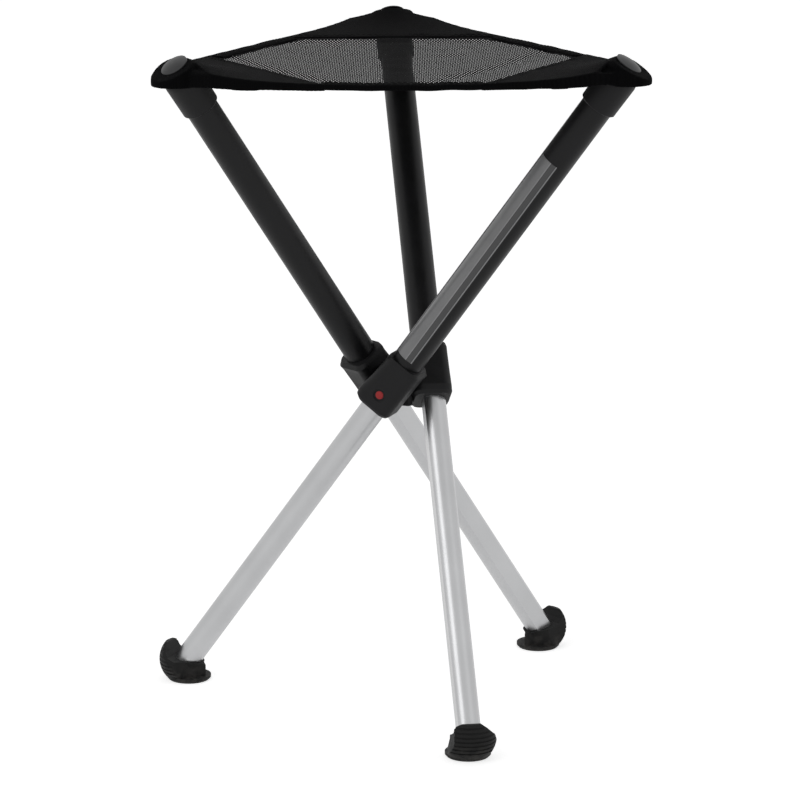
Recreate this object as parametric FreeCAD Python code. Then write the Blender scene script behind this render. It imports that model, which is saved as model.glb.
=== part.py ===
import FreeCAD, Part
import math
import os

from FreeCAD import Vector

os.makedirs("parts", exist_ok=True)

# Stance of the open stool
seat_height = 447.5  # floor to the middle of each corner rivet
hub_height = 217.5  # floor to the three pivots
lean_angle = 36.1  # each leg from upright
leg_offset = 22.4  # hub axis to each leg axis
leg_names = ("a", "b", "c")

# Upper tubes
upper_radius = 10.8
upper_wall = 1.2

# Lower tubes, flattened on the side that faces the hub
lower_radius = 8.85
lower_wall = 1.0
lower_flat = 6.8  # tube axis to the flat
lower_overlap = 80.0  # lower tube above the pivot when drawn out
bush_length = 30.0

# Running clearances
slide_clearance = 0.08
bush_clearance = 0.05
pin_clearance = 0.05
button_clearance = 0.1
face_gap = 0.3  # flat faces that pass each other
fabric_gap = 0.3  # fabric to what it is stretched over

# Collars at the lower ends of the upper tubes
collar_socket = 8.0  # upper tube end below the pivot
collar_face = 12.4  # leg axis to the outer face
collar_pad = 14.1  # leg axis to the face against the hub
collar_corner = 6.0
# Sections from the top down: height over the pivot, reach on the upper side and on the
# underside of the leg, and how far the outer face and the pad are drawn in
collar_sections = (
    (25.5, 11.7, 12.4, 0.7),
    (23.0, 12.0, 14.7, 0.0),
    (19.5, 11.9, 14.1, 0.0),
    (4.0, 13.4, 13.5, 0.0),
    (-7.0, 15.2, 13.3, 0.0),
    (-11.0, 14.4, 13.2, 0.0),
    (-13.0, 12.4, 12.2, 1.2),
)

# Hub and its pivots
hub_half_height = 13.0
hub_corner_radius = 13.0
pivot_radius = 3.0
pivot_head_radius = 4.5
pivot_head = 1.2
thread_radius = 2.5
thread_depth = 5.6

# Lock buttons and the leaf springs behind them
button_drop = 0.8  # pivot to button along the leg
button_radius = 2.8
button_flange_radius = 3.7
button_flange = 0.6
button_proud = 0.4  # button above the floor of its recess
recess_radius = 4.3
recess_depth = 0.6
stud_radius = 3.4
leaf_width = 6.6
leaf_thickness = 0.5
leaf_above = 5.0  # leaf ends above the button
leaf_length = 34.0  # leaf end to the start of its bend

# Caps at the seat end of the upper tubes
cap_radius = 12.9
cap_rim_radius = 12.6
cap_skirt = 34.9  # rivet plane to the cap's lower rim
cap_drop = 4.0  # rivet plane to the top of the cap
cap_plate = 5.0
cap_round = 8.0
cap_chamfer = 0.8

# Corner rivets
rivet_radius = 9.3
rivet_dome = 1.8
rivet_rim = 0.7
shank_radius = 3.0
rivet_tail_radius = 4.5
rivet_tail = 1.5

# Seat: a shallow dish drawn up to a peak at each corner
seat_sag = 9.0  # middle of the seat below the rivets
edge_rise = 1.5  # middle of each edge above the middle of the seat
peak_height = 19.6
peak_reach = 21.6  # distance in which a peak falls off
peak_round = 8.0
seat_steps = 40  # points each way on the seat's surface
corner_radius = 15.5
edge_bulge = 19.5  # middle of each edge outside the straight line from corner to corner
corner_reach = 67.0  # rivet to the inner edge of a corner piece
hem_width = 11.0
hem_thickness = 2.2
panel_thickness = 0.8
panel_depth = 0.7  # panel below the top of the hem
hood_tilt = 30.0  # top of the pocket round the rivet, from level
hood_depth = 13.0  # lower edge of the pocket below the rivet
hood_thickness = 2.2
hood_dome = 17.5  # radius of the pocket's rounding
hood_dome_drop = 8.0  # its centre below the rivet
hood_seam = 9.0  # from the flat of the corner piece to the rivet

# Feet
entry_height = 18.2  # floor to the tube axis where it enters the rubber
foot_grip = 10.0  # tube inside the rubber
ball_radius = 18.6  # the rounded outer form
ball_centre = (4.2, 14.4)  # outward of the tube entry, over the floor
toe_top = 26.0
# Side view of the heel, upwards: outward of the tube entry, over the floor
heel_side = (
    (-13.0, 2.0),
    (-10.6, 5.0),
    (-12.3, 9.8),
)
# Side view of the hollow round the tube, from the heel to the toe
dish_side = (
    (-7.2, 13.0),
    (0.0, 14.3),
    (7.0, 15.6),
    (11.5, 17.4),
    (14.3, 20.4),
    (16.0, 24.4),
)
# Body seen along the floor from outside: away from the hub side, over the floor
foot_front = (
    (-15.4, 2.0),
    (-13.4, 7.5),
    (-12.0, 12.0),
    (-11.5, 24.0),
    (-4.0, 27.0),
    (4.5, 27.0),
    (10.5, 22.4),
    (16.2, 16.8),
    (18.4, 11.0),
    (17.6, 7.0),
    (14.6, 3.9),
    (14.2, 2.0),
)
tread_centre = 2.0  # outward of the tube entry
tread_radius = 15.2
tread_height = 3.2
tread_chamfer = 1.4
ankle_radius = 10.6
rib_pitch = 2.8
rib_count = 7
rib_first = 6.0  # lowest groove over the floor
rib_width = 1.1
rib_depth = 0.6

# Label on the first upper tube
label_thickness = 0.15
label_glue = 0.05
label_drop = 82.0  # rivet to the upper end
label_rise = 5.2  # collar to the lower end
label_arc = 81.0
label_centre = 15.0  # degrees from the outer side towards the upper side

lean = math.radians(lean_angle)
top_run = (seat_height - hub_height) / math.cos(lean)  # pivot to rivet, along the leg
foot_run = (hub_height - entry_height) / math.cos(lean)
foot_reach = 3 * ball_radius  # pivot to tube entry in the foot
leg_turn = 360.0 / len(leg_names)
upper_bore = upper_radius - upper_wall
lower_bore = lower_radius - lower_wall
hub_flat = leg_offset - collar_pad - face_gap
collar_top = collar_sections[0][0]
collar_foot = collar_sections[-1][0]
cap_top = top_run - cap_drop
upper_top = cap_top - cap_plate
head_seat = math.sqrt(upper_bore**2 - pivot_head_radius**2) - pin_clearance
flange_face = upper_radius  # floor of the pocket that the flange rests against
stud_tip = flange_face - button_clearance - button_flange - pin_clearance

along = Vector(0, 0, 1)
inward = Vector(0, 1, 0)
across = Vector(1, 0, 0)


# Leg pieces are drawn upright: Z up the leg from the pivot, Y towards the hub, X to the underside.
def place_on_leg(shape, index):
    placed = shape.copy()
    placed.rotate(Vector(0, 0, 0), inward, lean_angle)
    placed.translate(Vector(0, -leg_offset, hub_height))
    placed.rotate(Vector(0, 0, 0), along, index * leg_turn)
    return placed


def rod(radius, foot, top):
    return Part.makeCylinder(radius, top - foot, Vector(0, 0, foot), along)


def cross_rod(radius, height, start, end):
    return Part.makeCylinder(radius, end - start, Vector(0, start, height), inward)


# A round rod with a flat on the hub side
def flat_rod(radius, flat, foot, top):
    beyond = Part.makeBox(2 * radius, radius, top - foot, Vector(-radius, flat, foot))
    return rod(radius, foot, top).cut(beyond)


def rounded_section(low_x, high_x, low_y, high_y, corner, height):
    corners = (
        (high_x - corner, high_y - corner, 0),
        (low_x + corner, high_y - corner, 90),
        (low_x + corner, low_y + corner, 180),
        (high_x - corner, low_y + corner, 270),
    )
    arcs = []
    for x, y, start in corners:
        circle = Part.Circle(Vector(x, y, height), along, corner)
        arcs.append(Part.Arc(circle, math.radians(start), math.radians(start + 90)))
    edges = []
    for index, arc in enumerate(arcs):
        following = arcs[(index + 1) % len(arcs)]
        edges.append(arc.toShape())
        edges.append(Part.LineSegment(arc.EndPoint, following.StartPoint).toShape())
    return Part.Wire(edges)


def revolved(points):
    outline = [Vector(radius, 0, height) for radius, height in points]
    outline.append(outline[0])
    return Part.Face(Part.makePolygon(outline)).revolve(Vector(0, 0, 0), along, 360)


# Upper tube with its pivot hole and the hole that the catch drops into
def upper_tube():
    tube = rod(upper_radius, -collar_socket, upper_top)
    tube = tube.cut(rod(upper_bore, -collar_socket, upper_top))
    pivot_hole = cross_rod(pivot_radius + pin_clearance, 0, 0, upper_radius)
    catch_hole = cross_rod(
        button_flange_radius + button_clearance, -button_drop, -upper_radius, 0
    )
    return tube.cut(pivot_hole).cut(catch_hole)


# Lower tube with the hole for the stud
def lower_tube():
    foot = -foot_run - foot_grip
    tube = flat_rod(lower_radius, lower_flat, foot, lower_overlap)
    tube = tube.cut(flat_rod(lower_bore, lower_flat - lower_wall, foot, lower_overlap))
    stud_hole = cross_rod(stud_radius + button_clearance, -button_drop, -lower_radius, 0)
    return tube.cut(stud_hole)


# Sleeve on the top of the lower tube that runs in the upper tube
def slide_bush():
    foot = lower_overlap - bush_length
    sleeve = rod(upper_bore - bush_clearance, foot, lower_overlap)
    return sleeve.cut(flat_rod(lower_radius, lower_flat, foot, lower_overlap))


# Collar: a sleeve round the tube end with a flat pad to the hub and a swelling for the thumb
def collar():
    wires = [
        rounded_section(
            -upper_reach,
            under_reach,
            drawn_in - collar_face,
            collar_pad - drawn_in,
            collar_corner,
            height,
        )
        for height, upper_reach, under_reach, drawn_in in collar_sections
    ]
    body = Part.makeLoft(wires, True, True)
    body = body.cut(rod(upper_radius, -collar_socket, collar_top))
    body = body.cut(
        flat_rod(
            lower_radius + slide_clearance,
            lower_flat + slide_clearance,
            collar_foot,
            -collar_socket,
        )
    )
    body = body.cut(cross_rod(pivot_radius + pin_clearance, 0, 0, collar_pad))
    body = body.cut(
        cross_rod(button_radius + button_clearance, -button_drop, -collar_face, 0)
    )
    body = body.cut(
        cross_rod(
            button_flange_radius + button_clearance, -button_drop, -flange_face, 0
        )
    )
    return body.cut(
        cross_rod(
            recess_radius, -button_drop, -collar_face, recess_depth - collar_face
        )
    )


# Button with the flange that keeps it in the collar
def lock_button():
    face = recess_depth - collar_face - button_proud
    stem = cross_rod(button_radius, -button_drop, face, button_clearance - flange_face)
    flange = cross_rod(
        button_flange_radius,
        -button_drop,
        button_clearance - flange_face,
        button_clearance + button_flange - flange_face,
    )
    outer_edges = [
        edge
        for edge in stem.Edges
        if abs(edge.BoundBox.YMin - face) < button_clearance
        and edge.BoundBox.YLength < button_clearance
    ]
    stem = stem.makeFillet(button_proud, outer_edges)
    return stem.fuse(flange)


# Leaf spring folded like a hairpin inside the lower tube, with the stud that it pushes out
def catch_spring():
    near = -math.sqrt(lower_bore**2 - (leaf_width / 2) ** 2) + pin_clearance
    far = lower_flat - lower_wall - pin_clearance
    top = -button_drop + leaf_above
    bend = top - leaf_length
    middle = (near + far) / 2
    outer = (far - near) / 2
    inner = outer - leaf_thickness
    side = Vector(-leaf_width / 2, 0, 0)

    def hairpin(radius):
        centre = side + Vector(0, middle, bend)
        start = centre + Vector(0, -radius, 0)
        end = centre + Vector(0, radius, 0)
        low = centre + Vector(0, 0, -radius)
        rise = Vector(0, 0, leaf_length)
        edges = [
            Part.LineSegment(start + rise, start).toShape(),
            Part.Arc(start, low, end).toShape(),
            Part.LineSegment(end, end + rise).toShape(),
            Part.LineSegment(end + rise, start + rise).toShape(),
        ]
        return Part.Face(Part.Wire(edges)).extrude(Vector(leaf_width, 0, 0))

    leaf = hairpin(outer).cut(hairpin(inner))
    stud = cross_rod(stud_radius, -button_drop, -stud_tip, near + leaf_thickness)
    return leaf.fuse(stud)


# Shouldered screw whose head lies between the two tubes
def pivot_screw():
    head = cross_rod(pivot_head_radius, 0, head_seat - pivot_head, head_seat)
    hub_face = leg_offset - hub_flat
    shank = cross_rod(pivot_radius, 0, head_seat, hub_face)
    thread = cross_rod(thread_radius, 0, hub_face, hub_face + thread_depth)
    return head.fuse(shank).fuse(thread)


# Cap over the seat end of the upper tube, domed and a little wider towards the seat
def top_cap():
    rim = top_run - cap_skirt
    body = revolved(
        (
            (0, rim),
            (cap_rim_radius - cap_chamfer, rim),
            (cap_rim_radius, rim + cap_chamfer),
            (cap_radius, cap_top - cap_round),
            (cap_radius, cap_top),
            (0, cap_top),
        )
    )
    top_edges = [
        edge
        for edge in body.Edges
        if edge.BoundBox.ZMin > cap_top - cap_chamfer and edge.BoundBox.XLength > cap_radius
    ]
    body = body.makeFillet(cap_round, top_edges)
    body = body.cut(rod(upper_radius, rim, upper_top))
    return body.cut(rod(shank_radius, upper_top, cap_top))


# Room for the cap in the fabric, with a bevel that clears its dome
def cap_room():
    radius = cap_radius + fabric_gap
    foot = top_run - cap_skirt - fabric_gap
    top = cap_top + fabric_gap
    bevel = (cap_round + fabric_gap) * (1 - math.tan(math.radians(22.5)))
    return revolved(
        ((0, foot), (radius, foot), (radius, top - bevel), (radius - bevel, top), (0, top))
    )


# Rivet with a low domed head and a clinched tail
def seat_rivet():
    head_foot = top_run + fabric_gap
    head_top = head_foot + rivet_rim + rivet_dome
    dome_radius = (rivet_radius**2 + rivet_dome**2) / (2 * rivet_dome)
    half_angle = math.asin(rivet_radius / dome_radius) / 2
    arc = Part.Arc(
        Vector(rivet_radius, 0, head_foot + rivet_rim),
        Vector(
            dome_radius * math.sin(half_angle),
            0,
            head_top - dome_radius * (1 - math.cos(half_angle)),
        ),
        Vector(0, 0, head_top),
    )
    tail_foot = upper_top - rivet_tail
    corners = (
        (0, head_top),
        (0, tail_foot),
        (rivet_tail_radius, tail_foot),
        (rivet_tail_radius, upper_top),
        (shank_radius, upper_top),
        (shank_radius, head_foot),
        (rivet_radius, head_foot),
        (rivet_radius, head_foot + rivet_rim),
    )
    points = [Vector(radius, 0, height) for radius, height in corners]
    edges = [arc.toShape()]
    for start, end in zip(points, points[1:]):
        edges.append(Part.LineSegment(start, end).toShape())
    return Part.Face(Part.Wire(edges)).revolve(Vector(0, 0, 0), along, 360)


# Outline of points joined by straight lines, as a face
def outline_face(points):
    return Part.Face(Part.makePolygon(points + points[:1]))


def ball(shrink):
    centre = Vector(-ball_centre[0], 0, ball_centre[1])
    return Part.makeSphere(ball_radius - shrink, centre)


# Rubber foot standing on the floor under the tube entry, its ribbed toe to -X
def foot_block():
    outline = [Vector(-foot_reach, 0, heel_side[0][1])]
    outline += [Vector(-out, 0, up) for out, up in heel_side + dish_side]
    outline += [Vector(-dish_side[-1][0], 0, toe_top), Vector(-foot_reach, 0, toe_top)]
    profile = outline_face(outline)
    profile.translate(Vector(0, -foot_reach, 0))
    body = profile.extrude(Vector(0, 2 * foot_reach, 0)).common(ball(0))
    front = outline_face([Vector(-foot_reach, -away, up) for away, up in foot_front])
    body = body.common(front.extrude(Vector(2 * foot_reach, 0, 0)))
    for side in (-1, 1):
        beside = Part.makeBox(
            2 * foot_reach,
            foot_reach,
            foot_reach,
            Vector(-foot_reach, min(0, side * foot_reach), 0),
        )
        beside.rotate(Vector(0, 0, 0), along, -45 * side)
        beside.translate(Vector(0, side * ankle_radius, 0))
        body = body.cut(beside)
    for rib in range(rib_count):
        corner = Vector(-foot_reach, -foot_reach, rib_first + rib * rib_pitch)
        slab = Part.makeBox(
            foot_reach - ball_centre[0], 2 * foot_reach, rib_width, corner
        )
        body = body.cut(slab.cut(ball(rib_depth)))
    tread_axis = Vector(-tread_centre, 0, 0)
    tread = Part.makeCylinder(
        tread_radius, tread_height - tread_chamfer, tread_axis + along * tread_chamfer, along
    )
    skirt = Part.makeCone(
        tread_radius - tread_chamfer, tread_radius, tread_chamfer, tread_axis, along
    )
    return body.fuse(tread).fuse(skirt)


# Ankle round the tube, from the floor up to the tube entry on the heel side
def foot_ankle():
    ankle = rod(ankle_radius, -foot_run - foot_grip - ankle_radius, -foot_run)
    ankle.rotate(Vector(0, 0, -foot_run), inward, lean_angle)
    ankle.translate(Vector(0, 0, foot_run + entry_height))
    over_dish = [Vector(-out, -foot_reach, up) for out, up in dish_side]
    over_dish.append(Vector(-dish_side[-1][0], -foot_reach, foot_reach))
    over_dish.append(Vector(-dish_side[0][0], -foot_reach, foot_reach))
    ankle = ankle.cut(outline_face(over_dish).extrude(Vector(0, 2 * foot_reach, 0)))
    floor = Part.makeBox(
        2 * foot_reach, 2 * foot_reach, foot_reach, Vector(-foot_reach, -foot_reach, 0)
    )
    return ankle.common(floor)


# Foot in place, with the tube's end sunk in it
def foot(index):
    block = foot_block().fuse(foot_ankle())
    block.translate(Vector(-foot_run * math.sin(lean), -leg_offset, 0))
    block.rotate(Vector(0, 0, 0), along, index * leg_turn)
    socket_foot = -foot_run - foot_grip
    socket = flat_rod(lower_radius, lower_flat, socket_foot, -foot_run + foot_grip)
    return block.cut(place_on_leg(socket, index))


# Thin sticker along the outer side of the first tube
def label():
    top = top_run - label_drop
    foot_end = collar_top + label_rise
    inner = upper_radius + label_glue
    outer = inner + label_thickness
    sector = Part.makeCylinder(
        outer, top - foot_end, Vector(0, 0, foot_end), along, label_arc
    )
    sector = sector.cut(rod(inner, foot_end, top))
    start = -90 - label_centre - label_arc / 2
    sector.rotate(Vector(0, 0, 0), along, start)
    return sector


# Hub core: three flats that face the collars
def hub_core():
    core = Part.makeCylinder(
        hub_corner_radius,
        2 * hub_half_height,
        Vector(0, 0, hub_height - hub_half_height),
        along,
    )
    reach = 2 * hub_corner_radius
    for index in range(len(leg_names)):
        beyond = Part.makeBox(
            reach,
            reach,
            2 * hub_half_height,
            Vector(-reach / 2, -hub_flat - reach, hub_height - hub_half_height),
        )
        hole = Part.makeCylinder(
            thread_radius, thread_depth, Vector(0, -hub_flat, hub_height), inward
        )
        for cutter in (beyond, hole):
            cutter.rotate(Vector(0, 0, 0), along, index * leg_turn)
            core = core.cut(cutter)
    return core


# Seat outline seen from above
corner_out = math.hypot((seat_height - hub_height) * math.tan(lean), leg_offset)
corner_lead = -math.degrees(
    math.atan2(leg_offset, (seat_height - hub_height) * math.tan(lean))
)
edge_radius = corner_out * math.cos(math.radians(leg_turn / 2)) + corner_radius + edge_bulge
seat_floor = seat_height - seat_sag


def seat_direction(degrees):
    angle = math.radians(degrees)
    return Vector(math.cos(angle), math.sin(angle), 0)


# Closed outline drawn in by an inset all round, as a tall prism
def seat_prism(inset):
    half_chord = corner_out * math.sin(math.radians(leg_turn / 2))
    bulged = corner_radius + edge_bulge
    side_radius = (bulged**2 + half_chord**2 - corner_radius**2) / (2 * edge_bulge)
    side_centre = edge_radius - side_radius
    edges = []
    for index in range(len(leg_names)):
        corner_angle = corner_lead + index * leg_turn
        corner = seat_direction(corner_angle) * corner_out
        next_corner = seat_direction(corner_angle + leg_turn) * corner_out
        before = seat_direction(corner_angle - leg_turn / 2)
        after = seat_direction(corner_angle + leg_turn / 2)
        into = (corner - before * side_centre).normalize()
        leave = (corner - after * side_centre).normalize()
        arrive = (next_corner - after * side_centre).normalize()
        radius = corner_radius - inset
        tip = corner + seat_direction(corner_angle) * radius
        edges.append(Part.Arc(corner + into * radius, tip, corner + leave * radius))
        middle = after * (edge_radius - inset)
        edges.append(
            Part.Arc(corner + leave * radius, middle, next_corner + arrive * radius)
        )
    outline = Part.Wire([edge.toShape() for edge in edges])
    outline.translate(Vector(0, 0, seat_floor - corner_out))
    return Part.Face(outline).extrude(Vector(0, 0, 2 * corner_out))


# Height of the seat's upper surface
def seat_rise(x, y):
    rise = seat_floor + edge_rise * (x**2 + y**2) / edge_radius**2
    for index in range(len(leg_names)):
        corner = seat_direction(corner_lead + index * leg_turn) * corner_out
        away = math.hypot(x - corner.x, y - corner.y, peak_round)
        rise += peak_height * math.exp(-away / peak_reach)
    return rise


# That surface as a face that reaches past the corners
def seat_surface():
    reach = 1.25 * corner_out
    rows = []
    for row in range(seat_steps + 1):
        x = reach * (2 * row / seat_steps - 1)
        points = []
        for column in range(seat_steps + 1):
            y = reach * (2 * column / seat_steps - 1)
            points.append(Vector(x, y, seat_rise(x, y)))
        rows.append(points)
    surface = Part.BSplineSurface()
    surface.interpolate(rows)
    return surface.toShape()


# Layer of the seat between two depths below its upper surface
def seat_layer(top_depth, foot_depth):
    face = seat_surface()
    face.translate(Vector(0, 0, -foot_depth))
    return face.extrude(Vector(0, 0, foot_depth - top_depth))


# Everything farther out than a line across the corner, as a tall block
def beyond_line(index, distance):
    size = 2 * corner_out
    block = Part.makeBox(
        size, size, size, Vector(distance, -size / 2, seat_floor - corner_out)
    )
    block.rotate(Vector(0, 0, 0), along, corner_lead + index * leg_turn)
    return block


def seat_panel():
    panel = seat_prism(hem_width)
    for index in range(len(leg_names)):
        panel = panel.cut(beyond_line(index, corner_out - corner_reach))
    return panel.common(seat_layer(panel_depth, panel_depth + panel_thickness))


# Hem along the edge that follows a corner
def seat_hem(index):
    strip = seat_prism(0).cut(seat_prism(hem_width))
    for other in range(len(leg_names)):
        strip = strip.cut(beyond_line(other, corner_out - corner_reach))
    size = 2 * corner_out
    sector = Part.makeCylinder(
        size, size, Vector(0, 0, seat_floor - corner_out), along, leg_turn
    )
    sector.rotate(Vector(0, 0, 0), along, corner_lead + index * leg_turn)
    return strip.common(sector).common(seat_layer(0, hem_thickness))


# Everything over the tilted top of a corner pocket
def over_pocket(index, inset):
    size = 6 * corner_radius
    above = Part.makeBox(size, size, size, Vector(-size / 2, -size / 2, -inset))
    above.rotate(Vector(0, 0, 0), inward, hood_tilt)
    above.rotate(Vector(0, 0, 0), along, index * leg_turn)
    corner = seat_direction(corner_lead + index * leg_turn) * corner_out
    above.translate(corner + Vector(0, 0, seat_height))
    return above


# Block round a corner rivet: upright round side, tilted top and level lower edge
def pocket_block(index, inset):
    corner = seat_direction(corner_lead + index * leg_turn) * corner_out
    foot = seat_height - hood_depth
    block = Part.makeCylinder(
        corner_radius - inset, 2 * hood_depth, corner + Vector(0, 0, foot), along
    )
    dome_centre = corner + Vector(0, 0, seat_height - hood_dome_drop)
    block = block.common(Part.makeSphere(hood_dome - inset, dome_centre))
    block = block.cut(over_pocket(index, inset))
    return block.cut(seat_layer(inset - 2 * hood_depth, inset))


# Corner piece: a flat of fabric with a pocket sewn round the cap
def seat_corner(index):
    flat = seat_prism(0).common(beyond_line(index, corner_out - corner_reach))
    flat = flat.cut(beyond_line(index, corner_out - hood_seam))
    flat = flat.common(seat_layer(0, hem_thickness)).cut(over_pocket(index, 0))
    pocket = pocket_block(index, 0).cut(pocket_block(index, hood_thickness))
    hole = rod(shank_radius + fabric_gap, upper_top, top_run + cap_skirt)
    head = rod(rivet_radius + fabric_gap, top_run, top_run + cap_skirt)
    whole = flat.fuse(pocket)
    for cutter in (cap_room(), hole, head):
        whole = whole.cut(place_on_leg(cutter, index))
    return whole


pieces = {"hub_core": hub_core(), "seat_panel": seat_panel()}
leg_pieces = {
    "upper_tube": upper_tube(),
    "lower_tube": lower_tube(),
    "slide_bush": slide_bush(),
    "collar": collar(),
    "lock_button": lock_button(),
    "catch_spring": catch_spring(),
    "pivot_screw": pivot_screw(),
    "top_cap": top_cap(),
    "seat_rivet": seat_rivet(),
}
for leg_index, leg_name in enumerate(leg_names):
    for piece_name, piece in leg_pieces.items():
        pieces[piece_name + "_" + leg_name] = place_on_leg(piece, leg_index)
    pieces["foot_" + leg_name] = foot(leg_index)
    pieces["seat_hem_" + leg_name] = seat_hem(leg_index)
    pieces["seat_corner_" + leg_name] = seat_corner(leg_index)
pieces["label"] = place_on_leg(label(), 0)

# The origin is on the floor, under the middle of the stool's own box
box = Part.makeCompound(list(pieces.values())).optimalBoundingBox()
shift = Vector(-(box.XMin + box.XMax) / 2, -(box.YMin + box.YMax) / 2, 0)
for node, piece in pieces.items():
    piece.translate(shift)
    if not piece.isValid() or len(piece.Solids) != 1:
        raise ValueError(node + " is not one valid solid")
    piece.exportStep("parts/" + node + ".step")
print("pieces", len(pieces))
print("hub axis x, y", round(shift.x, 4), round(shift.y, 4))
print("box", box)
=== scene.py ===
import math

import bmesh
import bpy
from mathutils import Matrix, Vector, noise


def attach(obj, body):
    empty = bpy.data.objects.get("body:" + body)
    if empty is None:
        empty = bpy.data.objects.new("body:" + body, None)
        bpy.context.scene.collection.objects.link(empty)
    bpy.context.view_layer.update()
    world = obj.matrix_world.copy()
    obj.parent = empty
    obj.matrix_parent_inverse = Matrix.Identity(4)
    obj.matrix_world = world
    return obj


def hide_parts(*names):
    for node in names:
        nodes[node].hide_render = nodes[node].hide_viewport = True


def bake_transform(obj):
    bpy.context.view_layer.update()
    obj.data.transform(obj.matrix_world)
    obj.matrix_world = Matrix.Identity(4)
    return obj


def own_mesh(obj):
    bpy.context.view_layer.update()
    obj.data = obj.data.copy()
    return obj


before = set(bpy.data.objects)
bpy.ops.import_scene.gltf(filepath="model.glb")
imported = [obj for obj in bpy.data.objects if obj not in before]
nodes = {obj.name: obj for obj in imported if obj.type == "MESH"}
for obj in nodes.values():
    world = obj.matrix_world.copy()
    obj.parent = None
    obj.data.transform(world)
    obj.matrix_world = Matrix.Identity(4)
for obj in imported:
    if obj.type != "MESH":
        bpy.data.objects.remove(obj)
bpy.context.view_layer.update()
legs = ("a", "b", "c")
scene = bpy.context.scene
print("frame loaded,", len(nodes), "nodes")

stance = {
    "hub": Vector((-0.0075434, -0.0112, 0.0)),  # hub axis on the floor
    "pivotHeight": 0.2175,
    "rivetHeight": 0.4475,
    "legOffset": 0.0224,  # hub axis to each leg axis
    "lean": math.radians(36.1),
    "turn": math.radians(120),
}


def legFrame(index):  # X to the leg's underside, Y to the hub, Z up the leg from its pivot
    return (
        Matrix.Translation(stance["hub"])
        @ Matrix.Rotation(index * stance["turn"], 4, "Z")
        @ Matrix.Translation((0, -stance["legOffset"], stance["pivotHeight"]))
        @ Matrix.Rotation(stance["lean"], 4, "Y")
    )


def addNode(tree, kind, inputs=None, **settings):  # inputs are values or sockets to link from
    made = tree.nodes.new(kind)
    for key, value in settings.items():
        setattr(made, key, value)
    for key, value in (inputs or {}).items():
        if isinstance(value, bpy.types.NodeSocket):
            tree.links.new(value, made.inputs[key])
        else:
            made.inputs[key].default_value = value
    return made


def calc(tree, operation, first, second=0.0):
    return addNode(tree, "ShaderNodeMath", {0: first, 1: second}, operation=operation).outputs[0]


def vectorMath(tree, operation, inputs):
    return addNode(tree, "ShaderNodeVectorMath", inputs, operation=operation).outputs


def remap(tree, value, low, high, toLow, toHigh, smooth=False):
    kind = "SMOOTHSTEP" if smooth else "LINEAR"
    inputs = {"Value": value, "From Min": low, "From Max": high, "To Min": toLow, "To Max": toHigh}
    return addNode(tree, "ShaderNodeMapRange", inputs, interpolation_type=kind).outputs[0]


def noiseAt(tree, spot, scale, detail):
    inputs = {"Vector": spot, "Scale": scale, "Detail": detail}
    return addNode(tree, "ShaderNodeTexNoise", inputs).outputs["Fac"]


def blendColour(tree, factor, first, second):
    inputs = {0: factor, 6: first, 7: second}
    return addNode(tree, "ShaderNodeMix", inputs, data_type="RGBA").outputs[2]


def newEffect(name, sizes, outputs):  # shader node group with named sockets
    tree = bpy.data.node_groups.new(name, "ShaderNodeTree")
    tree.interface.new_socket("Vector", in_out="INPUT", socket_type="NodeSocketVector")
    for title, value in sizes.items():
        socket = tree.interface.new_socket(title, in_out="INPUT", socket_type="NodeSocketFloat")
        socket.default_value = value
    for title in outputs:
        tree.interface.new_socket(title, in_out="OUTPUT", socket_type="NodeSocketFloat")
    return tree, tree.nodes.new("NodeGroupInput").outputs, tree.nodes.new("NodeGroupOutput").inputs


def makeGrain():  # fine moulded or sprayed surface, and a slow change of tone over the piece
    tree, given, result = newEffect("grain", {"Size": 0.0005}, ["Height", "Tone"])
    fine = noiseAt(tree, given["Vector"], calc(tree, "DIVIDE", 1.0, given["Size"]), 3.0)
    slow = noiseAt(tree, given["Vector"], 55.0, 4.0)
    tree.links.new(fine, result["Height"])
    tree.links.new(remap(tree, slow, 0.3, 0.7, 0.0, 1.0), result["Tone"])
    return tree


def makeWeave():  # plain weave that reads the same on level and upright cloth
    tree, given, result = newEffect("weave", {"Pitch": 0.0009}, ["Height", "Fuzz"])
    scale = calc(tree, "DIVIDE", 2 * math.pi, given["Pitch"])
    scaled = vectorMath(tree, "SCALE", {0: given["Vector"], 3: scale})[0]
    waves = vectorMath(tree, "SINE", {0: scaled})[0]
    part = addNode(tree, "ShaderNodeSeparateXYZ", {0: waves}).outputs
    level = calc(tree, "MULTIPLY", part[0], part[1])
    upright = calc(tree, "MULTIPLY", calc(tree, "ADD", part[0], part[1]), part[2])
    tree.links.new(calc(tree, "ADD", level, calc(tree, "MULTIPLY", upright, 0.6)), result["Height"])
    tree.links.new(noiseAt(tree, given["Vector"], 900.0, 3.0), result["Fuzz"])
    return tree


def makeNet():  # warp-knit net: oval holes in staggered columns
    sizes = {"Column": 0.0023, "Row": 0.0062, "Hole": 0.115}
    tree, given, result = newEffect("net", sizes, ["Open", "Height"])
    steps = addNode(tree, "ShaderNodeCombineXYZ", {0: given["Column"], 1: given["Row"], 2: 1.0}).outputs[0]
    cells = vectorMath(tree, "DIVIDE", {0: given["Vector"], 1: steps})[0]
    nearest = []
    for start in ((0, 0, 0), (0.5, 0.5, 0)):
        moved = vectorMath(tree, "ADD", {0: cells, 1: start})[0]
        within = vectorMath(tree, "FRACTION", {0: moved})[0]
        centred = vectorMath(tree, "SUBTRACT", {0: within, 1: (0.5, 0.5, 0)})[0]
        flat = vectorMath(tree, "MULTIPLY", {0: centred, 1: (1, 1, 0)})[0]
        nearest.append(vectorMath(tree, "LENGTH", {0: flat})["Value"])
    rim = calc(tree, "SUBTRACT", calc(tree, "MINIMUM", *nearest), given["Hole"])
    tree.links.new(remap(tree, rim, -0.03, 0.03, 1.0, 0.0), result["Open"])
    tree.links.new(remap(tree, rim, 0.0, 0.12, 0.0, 1.0, True), result["Height"])
    return tree


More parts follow.
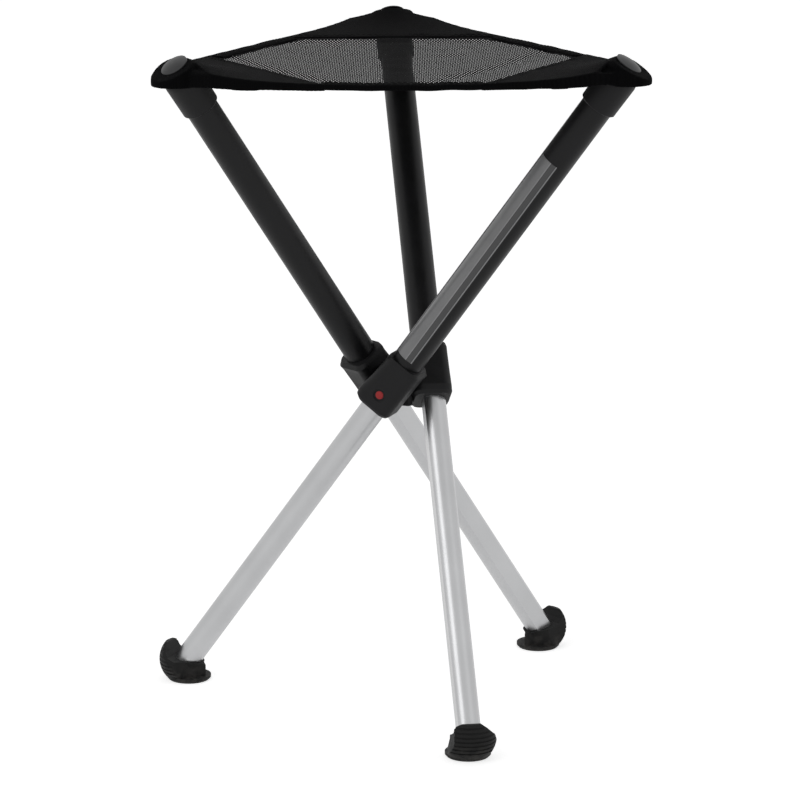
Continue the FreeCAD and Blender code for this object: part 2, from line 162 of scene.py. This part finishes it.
def makeDrawn():  # fine lines left along a drawn tube, with a few long scratches from sliding
    tree, given, result = newEffect("drawn", {"Line": 0.0004}, ["Height", "Scratch", "Tone"])
    stretched = vectorMath(tree, "MULTIPLY", {0: given["Vector"], 1: (1, 1, 0.02)})[0]
    lines = noiseAt(tree, stretched, calc(tree, "DIVIDE", 1.0, given["Line"]), 2.0)
    rare = noiseAt(tree, stretched, 700.0, 1.0)
    slow = noiseAt(tree, given["Vector"], 30.0, 3.0)
    tree.links.new(lines, result["Height"])
    tree.links.new(remap(tree, rare, 0.7, 0.78, 0.0, 1.0), result["Scratch"])
    tree.links.new(slow, result["Tone"])
    return tree


def makeDust():  # pale dust that thins out with height and gathers in patches
    tree, given, result = newEffect("dust", {"Reach": 0.012}, ["Mask"])
    patches = remap(tree, noiseAt(tree, given["Vector"], 180.0, 5.0), 0.4, 0.75, 0.0, 1.0)
    height = addNode(tree, "ShaderNodeSeparateXYZ", {0: given["Vector"]}).outputs[2]
    low = remap(tree, calc(tree, "DIVIDE", height, given["Reach"]), 0.0, 1.0, 1.0, 0.0)
    tree.links.new(calc(tree, "MULTIPLY", patches, low), result["Mask"])
    return tree


effects = {
    "grain": makeGrain(),
    "weave": makeWeave(),
    "net": makeNet(),
    "drawn": makeDrawn(),
    "dust": makeDust(),
}


def useEffect(tree, name, inputs):
    return addNode(tree, "ShaderNodeGroup", inputs, node_tree=effects[name]).outputs


def newFinish(name, values):  # material with its even values set on the shader itself
    material = bpy.data.materials.new(name)
    material.use_nodes = True
    tree = material.node_tree
    tree.nodes.clear()
    surface = addNode(tree, "ShaderNodeBsdfPrincipled", values)
    output = tree.nodes.new("ShaderNodeOutputMaterial")
    tree.links.new(surface.outputs[0], output.inputs["Surface"])
    return material, tree, surface


def setBump(tree, surface, height, distance):
    bump = addNode(tree, "ShaderNodeBump", {"Height": height, "Distance": distance, "Strength": 1.0})
    tree.links.new(bump.outputs[0], surface.inputs["Normal"])


def objectPlace(tree):
    return addNode(tree, "ShaderNodeTexCoord").outputs["Object"]


def legPlace(tree, index):  # Object coordinates turned so that Z runs up the leg
    turned = legFrame(index).inverted()
    inputs = {
        "Vector": objectPlace(tree),
        "Location": turned.to_translation(),
        "Rotation": turned.to_euler("XYZ"),
    }
    return addNode(tree, "ShaderNodeMapping", inputs, vector_type="POINT").outputs[0]


def restPlace(tree):  # where the cloth was before it folded
    return addNode(tree, "ShaderNodeAttribute", attribute_name="restPlace").outputs["Vector"]


finishes = {
    "paint": {"dark": (0.006, 0.006, 0.0065, 1), "light": (0.011, 0.011, 0.012, 1), "rough": (0.36, 0.48)},
    "silver": {"dark": (0.42, 0.423, 0.43, 1), "light": (0.5, 0.503, 0.51, 1), "rough": (0.27, 0.37)},
    "plastic": {"dark": (0.007, 0.007, 0.0075, 1), "light": (0.013, 0.013, 0.014, 1), "rough": (0.46, 0.6)},
    "red": {"dark": (0.42, 0.035, 0.04, 1), "light": (0.55, 0.06, 0.06, 1), "rough": (0.35, 0.5)},
    "rubber": {"dark": (0.010, 0.010, 0.010, 1), "light": (0.018, 0.018, 0.018, 1), "rough": (0.6, 0.78)},
    "steel": {"dark": (0.42, 0.42, 0.43, 1), "light": (0.55, 0.55, 0.56, 1), "rough": (0.28, 0.42)},
    "rivet": {"dark": (0.018, 0.0183, 0.019, 1), "light": (0.028, 0.0284, 0.0295, 1), "rough": (0.36, 0.5)},
    "cloth": {"dark": (0.003, 0.003, 0.0033, 1), "light": (0.0065, 0.0065, 0.007, 1), "rough": (0.82, 0.95)},
}


def tonedColour(tree, surface, name, tone, roughFrom=None):
    finish = finishes[name]
    tree.links.new(blendColour(tree, tone, finish["dark"], finish["light"]), surface.inputs["Base Color"])
    tree.links.new(remap(tree, roughFrom or tone, 0.0, 1.0, *finish["rough"]), surface.inputs["Roughness"])


def mouldedFinish(title, name, size=0.00045, depth=0.00006, dusty=0.0):
    material, tree, surface = newFinish(title, {"Specular IOR Level": 0.2})
    grain = useEffect(tree, "grain", {"Vector": objectPlace(tree), "Size": size})
    tonedColour(tree, surface, name, grain["Tone"])
    setBump(tree, surface, grain["Height"], depth)
    if dusty:
        mask = useEffect(tree, "dust", {"Vector": objectPlace(tree), "Reach": dusty})["Mask"]
        plain = surface.inputs["Base Color"].links[0].from_socket
        share = calc(tree, "MULTIPLY", mask, 0.5)
        tree.links.new(blendColour(tree, share, plain, (0.16, 0.15, 0.14, 1)), surface.inputs["Base Color"])
    return material


def paintedFinish(index):
    material, tree, surface = newFinish("paintedTube", {"Specular IOR Level": 0.2})
    spot = legPlace(tree, index)
    grain = useEffect(tree, "grain", {"Vector": spot, "Size": 0.0007})
    drawn = useEffect(tree, "drawn", {"Vector": spot, "Line": 0.0005})
    tonedColour(tree, surface, "paint", grain["Tone"])
    height = calc(tree, "ADD", grain["Height"], calc(tree, "MULTIPLY", drawn["Scratch"], -0.5))
    setBump(tree, surface, height, 0.00005)
    return material


def silverFinish(index):
    material, tree, surface = newFinish("silverTube", {"Metallic": 1.0})
    drawn = useEffect(tree, "drawn", {"Vector": legPlace(tree, index), "Line": 0.00035})
    tonedColour(tree, surface, "silver", drawn["Tone"], drawn["Height"])
    height = calc(tree, "SUBTRACT", drawn["Height"], drawn["Scratch"])
    setBump(tree, surface, height, 0.000015)
    return material


def steelFinish(title, name, metallic=1.0):
    material, tree, surface = newFinish(title, {"Metallic": metallic})
    grain = useEffect(tree, "grain", {"Vector": objectPlace(tree), "Size": 0.0006})
    tonedColour(tree, surface, name, grain["Tone"])
    setBump(tree, surface, grain["Height"], 0.00002)
    return material


def clothFinish(title, pitch, depth):
    values = {"Sheen Weight": 0.005, "Sheen Roughness": 0.5, "Specular IOR Level": 0.03}
    material, tree, surface = newFinish(title, values)
    weave = useEffect(tree, "weave", {"Vector": restPlace(tree), "Pitch": pitch})
    tonedColour(tree, surface, "cloth", remap(tree, weave["Height"], -1.0, 1.0, 0.0, 1.0), weave["Fuzz"])
    height = calc(tree, "ADD", weave["Height"], calc(tree, "MULTIPLY", weave["Fuzz"], 0.7))
    setBump(tree, surface, height, depth)
    return material


netting = {
    "column": 0.0023,
    "row": 0.0062,
    "hole": 0.115,  # share of a cell
    "depth": 0.0002,
    "fine": 0.0006,  # pitch of the weave in the yarn
    "spread": 0.4,  # side of the plan chart
    "turn": math.radians(20.8),  # run of the columns
}


def netFinish():
    values = {"Sheen Weight": 0.01, "Sheen Roughness": 0.5, "Specular IOR Level": 0.03}
    material, tree, surface = newFinish("seatNet", values)
    chart = addNode(tree, "ShaderNodeUVMap", uv_map="plan").outputs[0]
    spot = vectorMath(tree, "SCALE", {0: chart, 3: netting["spread"]})[0]
    sizes = {"Vector": spot, "Column": netting["column"], "Row": netting["row"], "Hole": netting["hole"]}
    holes = useEffect(tree, "net", sizes)
    weave = useEffect(tree, "weave", {"Vector": restPlace(tree), "Pitch": netting["fine"]})
    tonedColour(tree, surface, "cloth", holes["Height"], weave["Fuzz"])
    tree.links.new(calc(tree, "SUBTRACT", 1.0, holes["Open"]), surface.inputs["Alpha"])
    height = calc(tree, "ADD", holes["Height"], calc(tree, "MULTIPLY", weave["Height"], 0.25))
    setBump(tree, surface, height, netting["depth"])
    return material


film = {
    "middle": -105.0,  # degrees round the tube, from its underside
    "bandEdge": (14.0, 15.0),  # degrees from the middle
    # pale lines: -38 and 12.5 are print, 37 lies in the dark band and is a painted highlight along the
    # tube's edge
    "lines": (-38.0, 12.5, 37.0),
    "face": (0.26, 0.26, 0.265, 1),
    "band": (0.035, 0.035, 0.037, 1),
    # colour of the printed lines and of the painted edge highlight
    "line": (0.36, 0.36, 0.37, 1),
}


def labelFinish():  # bare printed film: grey face, dark band, thin pale border lines, and in the dark band one pale line that is a painted highlight along the tube's edge
    values = {"Roughness": 0.32, "Coat Weight": 0.3, "Coat Roughness": 0.2}
    material, tree, surface = newFinish("labelFilm", values)
    spot = legPlace(tree, 0)
    part = addNode(tree, "ShaderNodeSeparateXYZ", {0: spot}).outputs
    angle = calc(tree, "DEGREES", calc(tree, "ARCTAN2", part[1], part[0]))
    across = calc(tree, "SUBTRACT", angle, film["middle"])
    grain = useEffect(tree, "grain", {"Vector": spot, "Size": 0.0006})
    inBand = remap(tree, across, *film["bandEdge"], 0.0, 1.0)
    colour = blendColour(tree, inBand, film["face"], film["band"])
    # pale lines: print, except the one in the dark band, which is a painted highlight along the tube's edge
    for edge in film["lines"]:
        off = calc(tree, "ABSOLUTE", calc(tree, "SUBTRACT", across, edge))
        colour = blendColour(tree, remap(tree, off, 1.0, 2.0, 1.0, 0.0), colour, film["line"])
    shade = remap(tree, grain["Tone"], 0.0, 1.0, 0.9, 1.06)
    toned = vectorMath(tree, "SCALE", {0: colour, 3: shade})[0]
    tree.links.new(toned, surface.inputs["Base Color"])
    setBump(tree, surface, grain["Height"], 0.00001)
    return material


def dress(node, material):  # a CAD node keeps its shape and gets this finish
    data = nodes[node].data
    data.materials.clear()
    data.materials.append(material)


blackPlastic = mouldedFinish("blackPlastic", "plastic")
footRubber = mouldedFinish("footRubber", "rubber", 0.0006, 0.00009, 0.014)
redPlastic = mouldedFinish("redPlastic", "red", 0.0005, 0.00003)
springSteel = steelFinish("springSteel", "steel")
screwSteel = steelFinish("screwSteel", "steel")
rivetMetal = steelFinish("rivetMetal", "rivet", 0.35)
canvas = clothFinish("cornerCanvas", 0.0009, 0.00012)
tape = clothFinish("hemTape", 0.0012, 0.00018)
thread = clothFinish("sewingThread", 0.0005, 0.00006)
seatNet = netFinish()
dress("hub_core", blackPlastic)
dress("label", labelFinish())
for index, leg in enumerate(legs):
    dress("upper_tube_" + leg, paintedFinish(index))
    dress("lower_tube_" + leg, silverFinish(index))
    for part in ("slide_bush_", "collar_", "top_cap_"):
        dress(part + leg, blackPlastic)
    dress("lock_button_" + leg, redPlastic)
    dress("catch_spring_" + leg, springSteel)
    dress("pivot_screw_" + leg, screwSteel)
    dress("seat_rivet_" + leg, rivetMetal)
    dress("foot_" + leg, footRubber)
print("finishes ready,", len(bpy.data.materials), "materials")

legReach = (stance["rivetHeight"] - stance["pivotHeight"]) * math.tan(stance["lean"])
seat = {
    "cornerOut": math.hypot(legReach, stance["legOffset"]),  # hub axis to each rivet
    "lead": -math.atan2(stance["legOffset"], legReach),  # plan angle of the first rivet
    "cornerRadius": 0.0155,
    "edgeBulge": 0.0195,
    "floor": 0.4385,
    "edgeRise": 0.0015,
    "peakHeight": 0.0196,
    "peakReach": 0.0216,
    "peakRound": 0.008,
    "cornerReach": 0.067,  # rivet to the seam of a corner piece
    "hem": 0.011,
    "tuck": 0.003,  # net held inside the hem and the corner pieces
    "netDrop": 0.0011,  # net below the top of the hem
    "ripple": 0.0005,  # unevenness of all the cloth
    "rippleScale": 60,
}
seat["seam"] = seat["cornerOut"] - seat["cornerReach"]
seat["edgeOut"] = seat["cornerOut"] * 0.5 + seat["cornerRadius"] + seat["edgeBulge"]
creases = (  # corner they lie across, distance from the hub axis, depth, width
    ("a", 0.071, 0.0016, 0.006),
    ("c", 0.093, 0.0014, 0.005),
    ("b", 0.088, 0.0008, 0.007),
)
creaseBend, creaseHalf = 0.06, 0.11  # slope towards the ends, and half their length


def outlineOut(angle, inset):  # hub axis to the outline, angle from the nearest corner
    out, cornerRound = seat["cornerOut"], seat["cornerRadius"]
    halfTurn = stance["turn"] / 2
    halfChord = out * math.sin(halfTurn)
    bulged = cornerRound + seat["edgeBulge"]
    sideRadius = (bulged**2 + halfChord**2 - cornerRound**2) / (2 * seat["edgeBulge"])
    away = seat["edgeOut"] - sideRadius
    centre = Vector((away * math.cos(halfTurn), away * math.sin(halfTurn)))
    ray = Vector((math.cos(abs(angle)), math.sin(abs(angle))))
    rivet = Vector((out, 0))
    meet = rivet + (rivet - centre).normalized() * (cornerRound - inset)
    if abs(angle) < math.atan2(meet.y, meet.x):
        return out * ray.x + math.sqrt((cornerRound - inset) ** 2 - (out * ray.y) ** 2)
    onRay = centre.dot(ray)
    return onRay + math.sqrt((sideRadius - inset) ** 2 - centre.length_squared + onRay**2)


def seamAngle(inset, seam=seat["seam"]):  # where a line across the corner meets the outline
    low, high = 0.0, stance["turn"] / 2
    for _ in range(40):
        middle = (low + high) / 2
        if outlineOut(middle, inset) * math.cos(middle) > seam:
            low = middle
        else:
            high = middle
    return low


def seatTop(x, y):  # upper surface of the seat, x and y from the hub axis
    rise = seat["floor"] + seat["edgeRise"] * (x * x + y * y) / seat["edgeOut"] ** 2
    for index in range(len(legs)):
        turn = seat["lead"] + index * stance["turn"]
        away = math.hypot(x - seat["cornerOut"] * math.cos(turn), y - seat["cornerOut"] * math.sin(turn))
        rise += seat["peakHeight"] * math.exp(-math.hypot(away, seat["peakRound"]) / seat["peakReach"])
    return rise


def creaseDepth(x, y):
    depth = 0.0
    for leg, distance, deep, wide in creases:
        turn = seat["lead"] + legs.index(leg) * stance["turn"]
        along = x * math.cos(turn) + y * math.sin(turn)
        aside = abs(y * math.cos(turn) - x * math.sin(turn))
        dip = math.exp(-(((along - distance + creaseBend * aside) / wide) ** 2))
        depth += deep * dip * (1 - min(1.0, aside / creaseHalf) ** 4)
    return depth


def seatPoint(angle, out, drop=0.0, creased=0.0):  # plan angle and distance from the hub axis
    x, y = out * math.cos(angle), out * math.sin(angle)
    scale = seat["rippleScale"]
    ripple = seat["ripple"] * noise.noise(Vector((x * scale, y * scale, 3.1)))
    z = seatTop(x, y) - drop - creased * creaseDepth(x, y) + ripple
    return Vector((x, y, z)) + stance["hub"]


def newPiece(name, shape, material):  # a smooth mesh object from a bmesh, at the origin
    data = bpy.data.meshes.new(name)
    shape.to_mesh(data)
    shape.free()
    piece = bpy.data.objects.new(name, data)
    scene.collection.objects.link(piece)
    data.materials.append(material)
    for face in data.polygons:
        face.use_smooth = True
    return piece


def keepRest(piece):  # rest place on every point, and a plan chart for the net
    data = piece.data
    spots = data.attributes.new("restPlace", "FLOAT_VECTOR", "POINT")
    for vertex in data.vertices:
        spots.data[vertex.index].vector = vertex.co
    chart = data.uv_layers.new(name="plan")
    turnCos, turnSin = math.cos(netting["turn"]), math.sin(netting["turn"])
    for loop in data.loops:
        spot = data.vertices[loop.vertex_index].co / netting["spread"]
        across = spot.x * turnCos + spot.y * turnSin
        along = spot.y * turnCos - spot.x * turnSin
        chart.data[loop.index].uv = (across + 0.5, along + 0.5)


def netSector(name, start, end, reach, steps=36, rings=46):  # wedge of the net from the hub axis
    shape = bmesh.new()
    centre = shape.verts.new(seatPoint(0, 0, seat["netDrop"], 1))
    lastRow = None
    for step in range(steps + 1):
        angle = start + (end - start) * step / steps
        outs = [reach(angle) * ring / rings for ring in range(1, rings + 1)]
        row = [shape.verts.new(seatPoint(angle, out, seat["netDrop"], 1)) for out in outs]
        if lastRow:
            shape.faces.new((centre, lastRow[0], row[0]))
            for ring in range(rings - 1):
                shape.faces.new((lastRow[ring], lastRow[ring + 1], row[ring + 1], row[ring]))
        lastRow = row
    for face in shape.faces:
        face.normal_update()
        if face.normal.z < 0:
            face.normal_flip()
    piece = newPiece(name, shape, seatNet)
    keepRest(piece)
    return piece


hem = {
    "ends": 0.035,  # angle by which the ends lie inside the corner pieces
    "pucker": 0.00022,
    "puckerRun": 0.0034,  # length of one wave of the pucker
    "puckerOut": 0.118,  # hub axis to where that length is taken
    "seams": (0.0030, 0.0088),  # rows of stitches, in from the outline
    "section": (  # inset from the outline and depth below the seat's top
        (0.0113, 0.0003), (0.0108, 0.0001), (0.0080, 0.0000), (0.0050, 0.0001),
        (0.0025, 0.0000), (0.0010, 0.0003), (0.0002, 0.0009), (0.0, 0.0020),
        (0.0002, 0.0034), (0.0008, 0.0041), (0.0018, 0.0042), (0.0028, 0.0036),
        (0.0045, 0.0026), (0.0090, 0.0022), (0.0109, 0.0021), (0.0113, 0.0018),
    ),
}


def fromCorner(angle, corner):  # angle to the nearer of two corners of a side
    return min(angle - corner, corner + stance["turn"] - angle)


def hemStrip(name, corner, start, end, steps=120):  # tape folded over the edge of the net
    shape = bmesh.new()
    rows = []
    for step in range(steps + 1):
        angle = start + (end - start) * step / steps
        wave = hem["pucker"] * math.sin(angle * hem["puckerOut"] / hem["puckerRun"] * 2 * math.pi)
        off = fromCorner(angle, corner)
        rows.append([
            shape.verts.new(seatPoint(angle, outlineOut(off, inset), drop + wave * inset / seat["hem"]))
            for inset, drop in hem["section"]
        ])
    count = len(hem["section"])
    for first, second in zip(rows, rows[1:]):
        for spot in range(count):
            after = (spot + 1) % count
            shape.faces.new((first[spot], first[after], second[after], second[spot]))
    shape.faces.new(rows[0])
    shape.faces.new(list(reversed(rows[-1])))
    bmesh.ops.recalc_face_normals(shape, faces=shape.faces)
    return newPiece(name, shape, tape)


flap = {
    "voxel": 0.0008,
    "passes": 6,
    "seams": (0.0030, 0.0065),  # rows of stitches, out from the seam
    "inset": 0.0002,  # side walls inside the outline
    "top": 0.0007,  # and below the seat's top
    "wall": 0.0018,
    "steps": 30,
    "start": 0.0093,  # rivet to where they leave the pocket
    "gusset": 0.012,  # cloth that fills the corner beside the pocket
    "hoodSide": 0.001,
    "hoodWide": 0.0151,
    "hoodDrop": 0.0065,
    # share of the way from the pocket to the seam, and depth of the side wall there
    "depths": ((0.0, 0.0085), (0.2, 0.0074), (0.45, 0.0052), (0.75, 0.0046), (1.0, 0.0042)),
}
netHalf = seamAngle(seat["hem"])
hemHalf = seamAngle(0.0)


def skirtDepth(share):
    for (low, first), (high, second) in zip(flap["depths"], flap["depths"][1:]):
        if share <= high:
            return first + (second - first) * (share - low) / (high - low)
    return flap["depths"][-1][1]


def skirtPath(corner, side):  # share, top, and the outer and inner line of a side wall
    beside = seat["cornerOut"] - flap["hoodSide"]
    points = [
        (corner + side * math.atan2(wide, beside), math.hypot(wide, beside))
        for wide in (flap["hoodWide"], flap["hoodWide"] - flap["gusset"])
    ]
    path = [(0.0, flap["hoodDrop"], *points)]
    first = seamAngle(flap["inset"], seat["cornerOut"] - flap["start"])
    for step in range(flap["steps"] + 1):
        share = step / flap["steps"]
        wall = flap["wall"] if step else flap["gusset"]
        angle = first + (hemHalf - first) * share
        turned = corner + side * angle
        outer = (turned, outlineOut(angle, flap["inset"]))
        inner = (turned, outlineOut(angle, flap["inset"] + wall))
        path.append((share, flap["top"], outer, inner))
    return path


def addSkirts(shape, corner):  # cloth turned down along both edges of a corner piece
    for side in (-1, 1):
        last = None
        for share, top, outer, inner in skirtPath(corner, side):
            deep = top + skirtDepth(share)
            spots = ((outer, top), (outer, deep), (inner, deep), (inner, top))
            ring = [shape.verts.new(seatPoint(*spot, drop)) for spot, drop in spots]
            if last:
                for spot in range(4):
                    after = (spot + 1) % 4
                    quad = (last[spot], last[after], ring[after], ring[spot])
                    shape.faces.new(quad if side > 0 else tuple(reversed(quad)))
            else:
                shape.faces.new(ring if side < 0 else list(reversed(ring)))
            last = ring
        shape.faces.new(last if side > 0 else list(reversed(last)))


def softCopy(node, name, material, corner):  # a corner piece with soft edges and side walls
    piece = bpy.data.objects.new(name, nodes[node].data.copy())
    scene.collection.objects.link(piece)
    shape = bmesh.new()
    shape.from_mesh(piece.data)
    bmesh.ops.remove_doubles(shape, verts=shape.verts, dist=1e-6)
    addSkirts(shape, corner)
    shape.to_mesh(piece.data)
    shape.free()
    bpy.ops.object.select_all(action="DESELECT")
    bpy.context.view_layer.objects.active = piece
    piece.select_set(True)
    remesh = piece.modifiers.new("remesh", "REMESH")
    remesh.mode, remesh.voxel_size = "VOXEL", flap["voxel"]
    bpy.ops.object.modifier_apply(modifier="remesh")
    ease = piece.modifiers.new("ease", "SMOOTH")
    ease.factor, ease.iterations = 0.5, flap["passes"]
    bpy.ops.object.modifier_apply(modifier="ease")
    piece.data.materials.clear()
    piece.data.materials.append(material)
    for face in piece.data.polygons:
        face.use_smooth = True
        face.material_index = 0
    return piece


sewing = {"stitch": 0.0028, "gap": 0.0012, "radius": 0.00032, "flat": 0.8, "lift": 0.0001}


def stitchMesh():  # one stitch, copied along every seam
    shape = bmesh.new()
    bmesh.ops.create_uvsphere(shape, u_segments=6, v_segments=5, radius=1)
    points = [vertex.co.copy() for vertex in shape.verts]
    faces = [[vertex.index for vertex in face.verts] for face in shape.faces]
    shape.free()
    return points, faces


stitchPoints, stitchFaces = stitchMesh()


def addStitches(piece, paths):  # thread lying along points on the piece
    step = sewing["stitch"] + sewing["gap"]
    radius = sewing["radius"]
    grow = Matrix.Diagonal((radius, radius * sewing["flat"], sewing["stitch"] / 2, 1))
    points, faces = [], []
    for path in paths:
        run = 0.0
        for start, end in zip(path, path[1:]):
            length = (end - start).length
            turn = (end - start).to_track_quat("Z", "Y").to_matrix().to_4x4()
            while run < length:
                lay = Matrix.Translation(start.lerp(end, run / length)) @ turn @ grow
                first = len(points)
                points.extend(lay @ point for point in stitchPoints)
                faces.extend([first + spot for spot in face] for face in stitchFaces)
                run += step
            run -= length
    rows = bpy.data.meshes.new("stitchRows")
    rows.from_pydata(points, [], faces)
    for face in rows.polygons:
        face.material_index, face.use_smooth = 1, True
    shape = bmesh.new()
    shape.from_mesh(piece.data)
    shape.from_mesh(rows)
    shape.to_mesh(piece.data)
    shape.free()
    bpy.data.meshes.remove(rows)
    piece.data.materials.append(thread)


seatPieces = []
for index, leg in enumerate(legs):
    corner = seat["lead"] + index * stance["turn"]
    nextCorner = corner + stance["turn"]
    netCorner = netSector(
        "seatNetCorner_" + leg,
        corner - netHalf,
        corner + netHalf,
        lambda angle: (seat["seam"] + seat["tuck"]) / math.cos(angle - corner),
    )
    netSide = netSector(
        "seatNetSide_" + leg,
        corner + netHalf,
        nextCorner - netHalf,
        lambda angle: outlineOut(fromCorner(angle, corner), seat["hem"] - seat["tuck"]),
    )
    firstSeam, lastSeam = corner + hemHalf, nextCorner - hemHalf
    edge = hemStrip("seatHem_" + leg, corner, firstSeam - hem["ends"], lastSeam + hem["ends"])
    along = [firstSeam + (lastSeam - firstSeam) * step / 60 for step in range(61)]
    addStitches(edge, [
        [seatPoint(a, outlineOut(fromCorner(a, corner), inset), -sewing["lift"]) for a in along]
        for inset in hem["seams"]
    ])
    keepRest(edge)
    cover = softCopy("seat_corner_" + leg, "seatCorner_" + leg, canvas, corner)
    spread = [netHalf * (step / 20 - 1) for step in range(41)]
    addStitches(cover, [
        [seatPoint(corner + a, (seat["seam"] + distance) / math.cos(a)) for a in spread]
        for distance in flap["seams"]
    ])
    keepRest(cover)
    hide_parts("seat_corner_" + leg)
    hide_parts("seat_hem_" + leg)
    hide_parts("seat_panel")
    seatPieces.append((index, leg, corner, netCorner, netSide, edge, cover))
    print("seat part", leg, "made,", len(cover.data.polygons), "faces in its corner")

for index, leg, corner, netCorner, netSide, edge, cover in seatPieces:
    for piece in (netCorner, cover):
        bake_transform(piece)
    for piece in (netSide, edge):
        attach(piece, "hub")
        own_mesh(piece)
print("folding set for", len(seatPieces), "parts of the seat")

studio = {
    "floor": (0.86, 0.86, 0.86, 1),
    "glow": 0.7,  # white that the camera sees whatever the light
    "world": 0.36,
}


def seenRays(tree):  # 1 for what the camera sees, straight, mirrored or through the net
    rays = addNode(tree, "ShaderNodeLightPath").outputs
    straight = calc(tree, "MAXIMUM", rays["Is Camera Ray"], rays["Is Glossy Ray"])
    return calc(tree, "MAXIMUM", straight, rays["Is Transmission Ray"])


bpy.ops.mesh.primitive_plane_add(size=30, location=(0, 0, 0))
floor = bpy.context.object
floor.name = "floor"
values = {"Base Color": studio["floor"], "Roughness": 0.9, "Specular IOR Level": 0.1}
material, tree, surface = newFinish("floorPaper", values)
strength = calc(tree, "MULTIPLY", seenRays(tree), studio["glow"])
glow = addNode(tree, "ShaderNodeEmission", {"Color": (1, 1, 1, 1), "Strength": strength})
both = addNode(tree, "ShaderNodeAddShader", {0: surface.outputs[0], 1: glow.outputs[0]})
output = next(node for node in tree.nodes if node.type == "OUTPUT_MATERIAL")
tree.links.new(both.outputs[0], output.inputs["Surface"])
floor.data.materials.append(material)

world = scene.world or bpy.data.worlds.new("world")
scene.world = world
world.use_nodes = True
tree = world.node_tree
tree.nodes.clear()
strength = remap(tree, seenRays(tree), 0.0, 1.0, studio["world"], 1.0)
sky = addNode(tree, "ShaderNodeBackground", {"Color": (1, 1, 1, 1), "Strength": strength})
output = addNode(tree, "ShaderNodeOutputWorld")
tree.links.new(sky.outputs[0], output.inputs["Surface"])

shot = {
    "target": stance["hub"] + Vector((0, 0, 0.2274)),
    "azimuth": math.radians(20.81),
    "elevation": math.radians(12.6),
    "distance": 2.749,
    "lens": 182.6,
    "shiftX": 0.0022,
    "shiftY": -0.0381,
}
toRight = Vector((math.cos(shot["azimuth"]), math.sin(shot["azimuth"]), 0))
toCamera = Vector((math.sin(shot["azimuth"]), -math.cos(shot["azimuth"]), 0))
back = toCamera * math.cos(shot["elevation"]) + Vector((0, 0, math.sin(shot["elevation"])))
cameraData = bpy.data.cameras.new("camera")
cameraData.lens, cameraData.sensor_width = shot["lens"], 36
cameraData.shift_x, cameraData.shift_y = shot["shiftX"], shot["shiftY"]
camera = bpy.data.objects.new("camera", cameraData)
scene.collection.objects.link(camera)
camera.location = shot["target"] + back * shot["distance"]
camera.rotation_mode = "QUATERNION"
camera.rotation_quaternion = (-back).to_track_quat("-Z", "Y")
scene.camera = camera

lamps = (  # name, to the right, towards the camera, up, size, watts
    ("keyLamp", -1.5, 1.3, 1.7, 1.4, 7.0),
    ("fillLamp", 1.7, 1.2, 1.1, 1.6, 1.6),
    ("topLamp", 0.1, -0.9, 2.2, 1.6, 3.0),
)
for name, right, near, up, size, watts in lamps:
    data = bpy.data.lights.new(name, "AREA")
    data.shape, data.size, data.energy = "DISK", size, watts
    lamp = bpy.data.objects.new(name, data)
    scene.collection.objects.link(lamp)
    lamp.location = shot["target"] + toRight * right + toCamera * near + Vector((0, 0, up))
    lamp.rotation_mode = "QUATERNION"
    lamp.rotation_quaternion = (shot["target"] - lamp.location).to_track_quat("-Z", "Y")
scene.view_settings.view_transform = "Standard"
print("floor, lamps and camera set")
